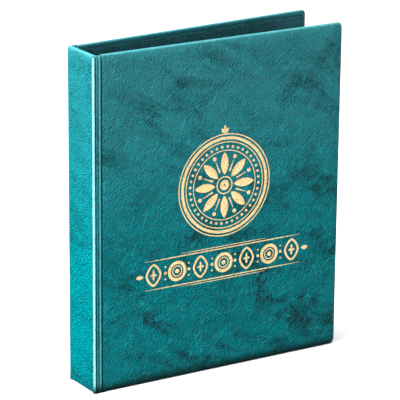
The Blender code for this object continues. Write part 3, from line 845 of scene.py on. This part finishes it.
class Stamp:
    """Thin foil shapes laid on the front cover, each a closed body of its own."""

    def __init__(self):
        self.verts, self.faces = [], []

    def point(self, a, z, lift):
        a, z = a * MM, z * MM
        return place(-1, a, front_depth(a, z) - lift, z)

    def sheet(self, grid, closed_u=False, closed_v=False):
        """grid[i][j] = (a, z) in mm; one foil patch with eased edges."""
        nu, nv = len(grid), len(grid[0])
        top = len(self.verts)
        for i, row in enumerate(grid):
            for j, (a, z) in enumerate(row):
                edge = (not closed_u and i in (0, nu - 1)) or (not closed_v and j in (0, nv - 1))
                self.verts.append(self.point(a, z, FOIL * (0.35 if edge else 1.0)))
        low = len(self.verts)
        for row in grid:
            for a, z in row:
                self.verts.append(self.point(a, z, -0.05 * MM))

        def quad(base, i, j, flip):
            i2, j2 = (i + 1) % nu, (j + 1) % nv
            q = [base + i * nv + j, base + i2 * nv + j, base + i2 * nv + j2, base + i * nv + j2]
            self.faces.append(tuple(reversed(q)) if flip else tuple(q))

        for i in range(nu if closed_u else nu - 1):
            for j in range(nv if closed_v else nv - 1):
                quad(top, i, j, False)
                quad(low, i, j, True)

        def wall(ids):
            for k in range(len(ids) - 1):
                a, b = ids[k], ids[k + 1]
                self.faces.append((top + a, top + b, low + b, low + a))

        if not closed_v:
            for j in (0, nv - 1):
                ids = [i * nv + j for i in range(nu)] + ([j] if closed_u else [])
                wall(ids)
        if not closed_u:
            for i in (0, nu - 1):
                wall([i * nv + j for j in range(nv)])

    def ring(self, ca, cz, r0, r1, n=None):
        n = n or max(16, int(2 * pi * r1 / 1.3))
        rim = min(0.12, (r1 - r0) * 0.2)
        inner = [r0, r0 + rim] + ([(r0 + r1) / 2] if r1 - r0 > 1.2 else []) + [r1 - rim, r1]
        self.sheet(
            [[(ca + r * cos(2 * pi * i / n), cz + r * sin(2 * pi * i / n)) for r in inner] for i in range(n)],
            closed_u=True,
        )

    def disc(self, ca, cz, r, n=None, pull=1.0):
        n = n or max(12, int(2 * pi * r / 0.8))
        self.ring(ca, cz, 0.18 * r, r, n)

    def stroke(self, line, width):
        """A ribbon along a line; width is a number or a function of 0..1."""
        rows = []
        m = len(line)
        for i, (a, z) in enumerate(line):
            a0, z0 = line[max(i - 1, 0)]
            a1, z1 = line[min(i + 1, m - 1)]
            ta, tz = a1 - a0, z1 - z0
            k = hypot(ta, tz) or 1.0
            na, nz = -tz / k, ta / k
            w = (width(i / (m - 1)) if callable(width) else width) / 2
            rim = min(0.12, w * 0.4)
            rows.append([(a + na * d, z + nz * d) for d in (-w, -w + rim, w - rim, w)])
        self.sheet(rows)

    def loop(self, line, width):
        rows = []
        m = len(line)
        for i, (a, z) in enumerate(line):
            a0, z0 = line[i - 1]
            a1, z1 = line[(i + 1) % m]
            ta, tz = a1 - a0, z1 - z0
            k = hypot(ta, tz) or 1.0
            na, nz = -tz / k, ta / k
            w = width / 2
            rim = min(0.12, w * 0.4)
            rows.append([(a + na * d, z + nz * d) for d in (-w, -w + rim, w - rim, w)])
        self.sheet(rows, closed_u=True)

    def leaf(self, ca, cz, angle, length, width, n=9):
        """A filled pointed leaf starting at (ca, cz)."""
        ang = radians(angle)
        ux, uz = cos(ang), sin(ang)
        rows = []
        for i in range(n + 1):
            t = i / n
            w = max(0.03, width / 2 * sin(pi * min(1, t * 0.97 + 0.015)) ** 0.75)
            a, z = ca + ux * length * t, cz + uz * length * t
            rim = min(0.1, w * 0.4)
            rows.append([(a - uz * d, z + ux * d) for d in (-w, -w + rim, 0, w - rim, w)])
        self.sheet(rows)

    def make(self, name):
        return piece(name, self.verts, self.faces, M_GILT, "front_cover", angle=60)


def arc_line(ca, cz, r, a0, a1, n):
    return [(ca + r * cos(radians(a0 + (a1 - a0) * i / n)), cz + r * sin(radians(a0 + (a1 - a0) * i / n))) for i in range(n + 1)]


# a round medallion: rings, a beaded border and a sixteen-leaf rosette
CA, CZ = 120.5, 158.0
med = Stamp()
med.ring(CA, CZ, 42.4, 43.3)
med.ring(CA, CZ, 38.3, 40.7)
med.ring(CA, CZ, 35.8, 36.6)
for k in range(40):
    b = 2 * pi * (k + 0.5) / 40
    med.disc(CA + 32.4 * cos(b), CZ + 32.4 * sin(b), 1.15, 12)
med.ring(CA, CZ, 28.9, 29.6)
for k in range(8):
    b = 45 * k + 90
    med.leaf(CA + 9.2 * cos(radians(b)), CZ + 9.2 * sin(radians(b)), b, 18.3, 7.2)
for k in range(8):
    b = 45 * k + 112.5
    r0 = 12.0
    med.stroke([(CA + r * cos(radians(b)), CZ + r * sin(radians(b))) for r in (12.0, 14.5, 17.0, 19.5, 22.0)], lambda t: 1.5 - 1.1 * t)
    med.disc(CA + 25.0 * cos(radians(b)), CZ + 25.0 * sin(radians(b)), 1.7, 16)
med.ring(CA, CZ, 6.6, 7.6)
med.disc(CA, CZ, 4.3, 24)
# a small crest of three leaves over it
for b, ln in ((90, 7.0), (52, 5.4), (128, 5.4)):
    med.leaf(CA, CZ + 43.6, b, ln, 2.6)
med.make("gilt_medallion")

# a band of linked coin rings and lozenges between tapering rules
band_ = Stamp()
ZC = 92.0
centres = [-66, -44, -22, 0, 22, 44, 66]
for k, off in enumerate(centres):
    big = k % 2 == 1
    ca = CA + off
    if big:
        band_.ring(ca, ZC, 6.0, 8.6)
        band_.ring(ca, ZC, 3.9, 4.7)
        band_.disc(ca, ZC, 1.9, 16)
    else:
        h, w = 8.8, 6.4
        band_.loop(
            [
                (ca + w * cos(2 * pi * i / 40) * (abs(cos(2 * pi * i / 40)) ** 0.35), ZC + h * sin(2 * pi * i / 40) * (abs(sin(2 * pi * i / 40)) ** 0.35))
                for i in range(40)
            ],
            1.7,
        )
        for b in (0, 90, 180, 270):
            band_.leaf(ca, ZC, b, 4.6 if b % 180 else 3.3, 1.9)
for k in range(len(centres) - 1):
    x0, x1 = CA + centres[k] + 9.2, CA + centres[k + 1] - 9.2
    xm = (x0 + x1) / 2
    band_.disc(xm, ZC, 1.3, 14)
    band_.disc(xm, ZC + 5.2, 0.8, 12)
    band_.disc(xm, ZC - 5.2, 0.8, 12)
for sgn in (-1, 1):
    x0 = CA + sgn * 75.5
    band_.leaf(x0, ZC, 0 if sgn > 0 else 180, 6.5, 3.6)
for zz, w in ((ZC + 12.2, 0.9), (ZC - 12.2, 0.9)):
    pts = [(CA - 74 + 148 * i / 110, zz) for i in range(111)]
    band_.stroke(pts, lambda t, w=w: w * (0.25 + 0.75 * min(1.0, 6 * min(t, 1 - t))))
for zz in (ZC + 14.2, ZC - 14.2):
    pts = [(CA - 40 + 80 * i / 60, zz) for i in range(61)]
    band_.stroke(pts, lambda t: 0.6 * (0.3 + 0.7 * min(1.0, 5 * min(t, 1 - t))))
band_.make("gilt_band")

# ------------------------------------------------------------------ spine


def spine_wrap():
    """The leather round the spine board: the outer face, the folded top and bottom, and the long sides."""
    y_face = DEPTH / 2 - 2.6 * MM
    y_side = DEPTH / 2 - 1.3 * MM
    step = 1.6 * MM
    n = max(2, round(2 * y_face / step))
    face = [-y_face + 2 * y_face * i / n for i in range(n + 1)]
    zs = levels(0, HEIGHT, step, (0, 0.1 * MM, 0.35 * MM, 0.75 * MM, 1.2 * MM, EDGE_OUT, 2.6 * MM, 4.4 * MM, 7.0 * MM))
    verts, faces, rings = [], [], []
    for z in zs:
        s = min(z, HEIGHT - z)
        e_out = EDGE_OUT - sqrt(max(0.0, EDGE_OUT**2 - (EDGE_OUT - s) ** 2)) if s < EDGE_OUT else 0.0
        e_in = EDGE_IN - sqrt(max(0.0, EDGE_IN**2 - (EDGE_IN - s) ** 2)) if s < EDGE_IN else 0.0
        dip = 0.6 * crown(s)
        ring = []
        for y in face:
            w = ripple(y * 1.0, z, 2.0) * smooth01(s / (3 * MM)) * smooth01((y_face - abs(y)) / (4 * MM))
            ring.append((XS + e_out + w + dip * smooth01((y_face - abs(y)) / (3 * MM)), y, z))
        back = PANEL - e_in
        ring += [
            (XS + 1.12 * MM + e_out * 0.4, y_face, z),
            (XS + 1.12 * MM + e_out * 0.4, y_side - e_in * 0.3, z),
            (XS + back - 0.35 * MM, y_side - e_in * 0.3, z),
            (XS + back, y_side - 0.35 * MM - e_in * 0.3, z),
            (XS + back, -y_side + 0.35 * MM + e_in * 0.3, z),
            (XS + back - 0.35 * MM, -y_side + e_in * 0.3, z),
            (XS + 1.12 * MM + e_out * 0.4, -y_side + e_in * 0.3, z),
            (XS + 1.12 * MM + e_out * 0.4, -y_face, z),
        ]
        start = len(verts)
        verts += ring
        rings.append(list(range(start, len(verts))))
    for a, b in zip(rings, rings[1:]):
        for i in range(len(a)):
            j = (i + 1) % len(a)
            faces.append((a[i], a[j], b[j], b[i]))
    faces.append(tuple(rings[0]))
    faces.append(tuple(rings[-1]))
    return verts, faces


verts, faces = spine_wrap()
piece("spine_wrap", verts, faces, M_SPINE, "spine", nodes=("spine_skin", "spine_board"), angle=50)

def soft_sheet(lo_u, hi_u, lo_v, hi_v, stations, at, n=24):
    """A thin closed sheet with eased edges: stations are (inset, height) pairs from one side to the other."""
    verts, faces, rings = [], [], []
    for inset, h in stations:
        pts = [(lo_u + inset, lo_v + inset), (hi_u - inset, lo_v + inset), (hi_u - inset, hi_v - inset), (lo_u + inset, hi_v - inset)]
        start = len(verts)
        for (au, av), (bu, bv) in zip(pts, pts[1:] + pts[:1]):
            for k in range(n):
                t = k / n
                verts.append(at(au + (bu - au) * t, av + (bv - av) * t, h))
        rings.append(list(range(start, len(verts))))
    for a, b in zip(rings, rings[1:]):
        for i in range(len(a)):
            j = (i + 1) % len(a)
            faces.append((a[i], a[j], b[j], b[i]))
    faces.append(tuple(rings[0]))
    faces.append(tuple(rings[-1]))
    return verts, faces


verts, faces = soft_sheet(
    -18.3 * MM,
    18.3 * MM,
    4.3 * MM,
    HEIGHT - 4.3 * MM,
    ((0, 3.6 * MM), (0, 3.9 * MM), (0.12 * MM, 4.03 * MM), (0.4 * MM, 4.09 * MM), (1.5 * MM, 4.12 * MM)),
    lambda u, v, h: (XS + h, u, v),
)
piece("spine_inner_lining", verts, faces, M_LINER_S, "spine", nodes=("spine_lining",), angle=50)

# ------------------------------------------------------------------ ring mechanism


def tube_mesh(path, radii, sides, along):
    """Closed tube of varying radius; path is in X and Y, along gives the height."""
    verts, faces, rings = [], [], []
    for i, ((x, y), r) in enumerate(zip(path, radii)):
        ax, ay = path[max(i - 1, 0)]
        bx, by = path[min(i + 1, len(path) - 1)]
        k = hypot(bx - ax, by - ay) or 1.0
        nx, ny = -(by - ay) / k, (bx - ax) / k
        start = len(verts)
        for j in range(sides):
            c, sn = cos(2 * pi * j / sides), sin(2 * pi * j / sides)
            verts.append((x + r * c * nx, y + r * c * ny, along + r * sn))
        rings.append(list(range(start, len(verts))))
    for a, b in zip(rings, rings[1:]):
        for i in range(sides):
            j = (i + 1) % sides
            faces.append((a[i], a[j], b[j], b[i]))
    faces.append(tuple(rings[0]))
    faces.append(tuple(rings[-1]))
    return verts, faces


def bezier(p0, p1, p2, p3, n):
    out = []
    for i in range(1, n + 1):
        t = i / n
        out.append(
            tuple(
                (1 - t) ** 3 * a + 3 * t * (1 - t) ** 2 * b + 3 * t * t * (1 - t) * c + t**3 * d
                for a, b, c, d in zip(p0, p1, p2, p3)
            )
        )
    return out


for word, side in (("front", -1), ("back", 1)):
    for n, dz in enumerate(RING_Z):
        path, start = [], asin(0.15 * MM / RING_R)
        for i in range(57):
            a = start + (radians(135) - start) * i / 56
            path.append((RING_X + RING_R * cos(a), RING_R * sin(a)))
        p0 = path[-1]
        p3 = (5.8 * MM + 0.9 * MM, 6.5 * MM)
        path += bezier(p0, (p0[0] - 0.9 * MM, p0[1] - 0.9 * MM), (p3[0] + 0.7 * MM, p3[1]), p3, 12)
        path.append((4.8 * MM, 6.5 * MM))
        # the tip is eased
        head = [(0.0, 0.72), (0.05, 0.88), (0.16, 0.97), (0.34, 1.0)]
        first = path[0]
        tip = [(first[0] + 0 * MM, first[1] + d * MM) for d, _ in head]
        radii = [WIRE_R * k for _, k in head] + [WIRE_R] * (len(path) - 1)
        path = tip + path[1:]
        world_path = [(XS + x, side * y) for x, y in path]
        verts, faces = tube_mesh(world_path, radii, 28, MID + dz)
        piece(
            f"{word}_ring_wire_{n + 1}",
            verts,
            faces,
            M_NICKEL,
            word + "_ring_leaf",
            nodes=(f"{word}_half_ring_{n + 1}",),
            angle=60,
        )

# rivet heads on the cover plate
for word, sign in (("top", 1), ("bottom", -1)):
    z = MID + sign * 67.5 * MM
    profile = [
        (3.0, 1.55),
        (8.7, 1.55),
        (8.7, 2.55),
        (8.72, 2.85),
        (8.82, 3.0),
        (8.98, 3.0),
        (9.18, 2.88),
        (9.38, 2.6),
        (9.55, 2.15),
        (9.66, 1.5),
        (9.70, 1.0),
        (9.69, 0.62),
        (9.60, 0.45),
        (9.57, 0.2),
    ]
    sides = 40
    verts, faces, rings = [], [], []
    for x, r in profile:
        start = len(verts)
        verts += [(XS + x * MM, r * MM * cos(2 * pi * i / sides), z + r * MM * sin(2 * pi * i / sides)) for i in range(sides)]
        rings.append(list(range(start, len(verts))))
    for a, b in zip(rings, rings[1:]):
        for i in range(sides):
            j = (i + 1) % sides
            faces.append((a[i], a[j], b[j], b[i]))
    faces.append(tuple(rings[0]))
    faces.append(tuple(rings[-1]))
    piece(f"rivet_head_{word}", verts, faces, M_NICKEL, "spine", nodes=(f"rivet_{word}",), angle=40)

# thumb levers, with softened sides
under = [(2.0, -0.35), (3.4, 0.05), (5.0, 0.8), (8.0, 2.0), (10.2, 2.9), (11.3, 3.3)]
over = [(11.0, 4.1), (9.7, 3.7), (7.5, 2.85), (4.6, 1.65), (3.0, 1.05), (1.7, 0.7)]


def spline(points, n):
    out = []
    for i in range(len(points) - 1):
        p0, p1 = points[max(i - 1, 0)], points[i]
        p2, p3 = points[i + 1], points[min(i + 2, len(points) - 1)]
        for k in range(n):
            t = k / n
            out.append(
                tuple(
                    0.5 * (2 * b + (c - a) * t + (2 * a - 5 * b + 4 * c - d) * t * t + (3 * b - a - 3 * c + d) * t**3)
                    for a, b, c, d in zip(p0, p1, p2, p3)
                )
            )
    out.append(points[-1])
    return out


for word, sign in (("top", 1), ("bottom", -1)):
    z0 = MID + sign * 109.3 * MM
    shape = [(-3.0, -0.45), (-1.48, -0.45)]
    shape += [(1.55 * cos(radians(a)), 1.55 * sin(radians(a))) for a in range(205, 336, 10)]
    shape += spline(under, 4) + spline([(11.3, 3.3), (11.45, 3.75), (11.0, 4.1)], 3)[1:-1] + spline(over, 4)
    shape += [(1.55 * cos(radians(a)), 1.55 * sin(radians(a))) for a in range(35, 161, 10)]
    shape += [(-1.48, 0.45), (-3.0, 0.45)]
    area2 = sum(a[0] * b[1] - b[0] * a[1] for a, b in zip(shape, shape[1:] + shape[:1]))
    inwards = []
    m = len(shape)
    for i in range(m):
        (x0, y0), (x1, y1) = shape[i - 1], shape[(i + 1) % m]
        k = hypot(x1 - x0, y1 - y0) or 1.0
        d = 1 if area2 > 0 else -1
        inwards.append((-(y1 - y0) / k * d, (x1 - x0) / k * d))
    verts, faces, rings = [], [], []
    for w, e in ((-6.0, 0.28), (-5.92, 0.12), (-5.75, 0.03), (-5.5, 0.0), (5.5, 0.0), (5.75, 0.03), (5.92, 0.12), (6.0, 0.28)):
        start = len(verts)
        for (u, v), (nu, nv) in zip(shape, inwards):
            uu, vv = (u + nu * e) * MM, (v + nv * e) * MM
            verts.append((XS + 5.9 * MM + vv, w * MM, z0 + sign * uu))
        rings.append(list(range(start, len(verts))))
    for a, b in zip(rings, rings[1:]):
        for i in range(len(a)):
            j = (i + 1) % len(a)
            faces.append((a[i], a[j], b[j], b[i]))
    faces.append(tuple(rings[0]))
    faces.append(tuple(rings[-1]))
    piece(f"thumb_lever_{word}", verts, faces, M_NICKEL, f"trigger_{word}", nodes=(f"trigger_{word}",), angle=50)

# ------------------------------------------------------------------ pockets and welds of the coin sheets


def bar_between(verts, faces, p0, p1, width, y0, y1):
    """A low rounded rib in a sheet's plane from p0 to p1 (x, z), standing from y0 to y1."""
    dx, dz = p1[0] - p0[0], p1[1] - p0[1]
    length = hypot(dx, dz)
    ux, uz = dx / length, dz / length
    rings = []
    section = [(-0.5, 0.0), (-0.42, 0.55), (-0.25, 0.9), (0.0, 1.0), (0.25, 0.9), (0.42, 0.55), (0.5, 0.0)]
    n = max(2, int(length / (12 * MM)))
    for k in range(n + 1):
        t = k / n
        x, z = p0[0] + dx * t, p0[1] + dz * t
        start = len(verts)
        for w, h in section:
            verts.append((x - uz * w * width, y0 + (y1 - y0) * h, z + ux * w * width))
        rings.append(list(range(start, len(verts))))
    for a, b in zip(rings, rings[1:]):
        for i in range(len(a)):
            j = (i + 1) % len(a)
            faces.append((a[i], a[j], b[j], b[i]))
    faces.append(tuple(rings[0]))
    faces.append(tuple(rings[-1]))


COLS, ROWS = 4, 5
for n in range(5):
    lo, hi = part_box(f"coin_sheet_{n + 1}")
    x0, x1 = lo.x + 17.0 * MM, hi.x - 3.5 * MM
    z0, z1 = lo.z + 3.5 * MM, hi.z - 3.5 * MM
    yf = lo.y                              # pockets are on the side that faces the front cover
    verts, faces = [], []
    for c in range(COLS + 1):
        x = x0 + (x1 - x0) * c / COLS
        bar_between(verts, faces, (x, z0 - 1.2 * MM), (x, z1 + 1.2 * MM), 2.2 * MM, yf + 0.1 * MM, yf - 0.16 * MM)
    for r in range(ROWS + 1):
        z = z0 + (z1 - z0) * r / ROWS
        bar_between(verts, faces, (x0 - 1.2 * MM, z), (x1 + 1.2 * MM, z), 2.2 * MM, yf + 0.1 * MM, yf - 0.19 * MM)
    for x in (lo.x + 2.0 * MM,):
        bar_between(verts, faces, (x, lo.z + 6 * MM), (x, hi.z - 6 * MM), 1.6 * MM, yf + 0.1 * MM, yf - 0.14 * MM)
    piece(f"coin_sheet_{n + 1}_welds", verts, faces, M_WELD, f"sheet_{n + 1}", angle=50)
    verts, faces = [], []
    for c in range(COLS):
        for r in range(ROWS):
            ax = x0 + (x1 - x0) * c / COLS + 1.3 * MM
            bx = x0 + (x1 - x0) * (c + 1) / COLS - 1.3 * MM
            az = z0 + (z1 - z0) * r / ROWS + 1.3 * MM
            bz = z0 + (z1 - z0) * (r + 1) / ROWS - 1.3 * MM
            m = 10
            top, low = [], []
            for j in range(m + 1):
                for i in range(m + 1):
                    u, v = i / m, j / m
                    # the mouth dips in a thumb notch at its middle
                    zt = bz - 5.0 * MM * max(0.0, 1 - ((u - 0.5) / 0.24) ** 2) ** 0.5 * (1 if abs(u - 0.5) < 0.24 else 0)
                    x = ax + (bx - ax) * u
                    z = az + (zt - az) * v
                    swell = (max(0.0, sin(pi * min(1, max(0, u)))) ** 0.5) * (sin(pi * 0.5 * min(1.0, v * 2.2)) ** 0.6)
                    top.append((x, yf - (0.05 + 0.42 * swell) * MM, z))
                    low.append((x, yf + 0.08 * MM, z))
            base = len(verts)
            verts += top + low
            k = m + 1
            for j in range(m):
                for i in range(m):
                    q = (base + j * k + i, base + j * k + i + 1, base + (j + 1) * k + i + 1, base + (j + 1) * k + i)
                    faces.append(q)
                    faces.append(tuple(reversed([v + k * k for v in q])))
            rim = [i for i in range(k)] + [j * k + m for j in range(1, k)] + [m * k + i for i in range(m - 1, -1, -1)] + [j * k for j in range(m - 1, 0, -1)]
            for i in range(len(rim)):
                p, q2 = rim[i], rim[(i + 1) % len(rim)]
                faces.append((base + p, base + q2, base + q2 + k * k, base + p + k * k))
    piece(f"coin_sheet_{n + 1}_pockets", verts, faces, M_FILM, f"sheet_{n + 1}", angle=60)

# ------------------------------------------------------------------ carried-over nodes

looks = {
    "front_board": M_BOARD,
    "back_board": M_BOARD,
    "front_blade": M_STEEL,
    "back_blade": M_STEEL,
    "trigger_pin_top": M_STEEL,
    "trigger_pin_bottom": M_STEEL,
    "ring_plate": M_NICKEL,
}
for n in range(5):
    looks[f"coin_sheet_{n + 1}"] = M_FILM
for name, look in looks.items():
    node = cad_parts[name]
    node.data.materials.clear()
    node.data.materials.append(look)

# ------------------------------------------------------------------ floor, light and camera

floor = bpy.data.objects.new("floor", bpy.data.meshes.new("floor"))
floor.data.from_pydata([(-9, -9, 0), (9, -9, 0), (9, 9, 0), (-9, 9, 0)], [], [(0, 1, 2, 3)])
bpy.context.scene.collection.objects.link(floor)
t = Tree("floor_paper")
t.set(color=(0.90, 0.90, 0.90), rough=0.9, spec=0.1)
floor.data.materials.append(t.m)
floor.location.z = -0.0002
floor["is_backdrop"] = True

world = bpy.data.worlds.new("studio")
bpy.context.scene.world = world
world.use_nodes = True
world.node_tree.nodes["Background"].inputs["Color"].default_value = (1, 1, 1, 1)
world.node_tree.nodes["Background"].inputs["Strength"].default_value = 0.10


def area(name, azimuth, elevation, distance, size, power, target=(0, 0, 0.14), size_y=None):
    light = bpy.data.lights.new(name, "AREA")
    light.shape = "RECTANGLE" if size_y else "SQUARE"
    light.size = size
    if size_y:
        light.size_y = size_y
    light.energy = power
    obj = bpy.data.objects.new(name, light)
    a, e = radians(azimuth), radians(elevation)
    back = Vector((sin(a) * cos(e), -cos(a) * cos(e), sin(e)))
    obj.location = Vector(target) + back * distance
    obj.rotation_euler = back.to_track_quat("Z", "Y").to_euler()
    bpy.context.scene.collection.objects.link(obj)
    return obj


area("key_left", -80, 30, 1.7, 0.6, 56)
area("overhead", 180, 82, 2.1, 2.6, 92, target=(0, 0.2, 0))
area("low_right", 33, 4, 0.95, 0.5, 0.9, target=(0, 0, 0.16), size_y=0.22)

AZ, EL, ROLL = radians(-33.253), radians(17.670), radians(0.532)
F_PX, U0, V0, DIST = 2423.0, 203.48, 199.29, 1.9825
back = Vector((sin(AZ) * cos(EL), -cos(AZ) * cos(EL), sin(EL)))
right = Vector((cos(AZ), sin(AZ), 0))
up = back.cross(right)
right_r = right * cos(ROLL) + up * sin(ROLL)
up_r = -right * sin(ROLL) + up * cos(ROLL)
centre = Vector((0, 0, MID)) + back * DIST - right_r * ((U0 - 200) * DIST / F_PX) - up_r * (-(V0 - 200) * DIST / F_PX)
cam = bpy.data.cameras.new("camera")
cam.sensor_width = 36.0
cam.lens = F_PX / 400 * 36.0
cam.clip_start, cam.clip_end = 0.05, 60
cam_obj = bpy.data.objects.new("camera", cam)
m = Matrix((right_r, up_r, back)).transposed().to_4x4()
m.translation = centre
cam_obj.matrix_world = m
bpy.context.scene.collection.objects.link(cam_obj)
bpy.context.scene.camera = cam_obj
bpy.context.scene.view_settings.view_transform = "Standard"

lo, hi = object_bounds()
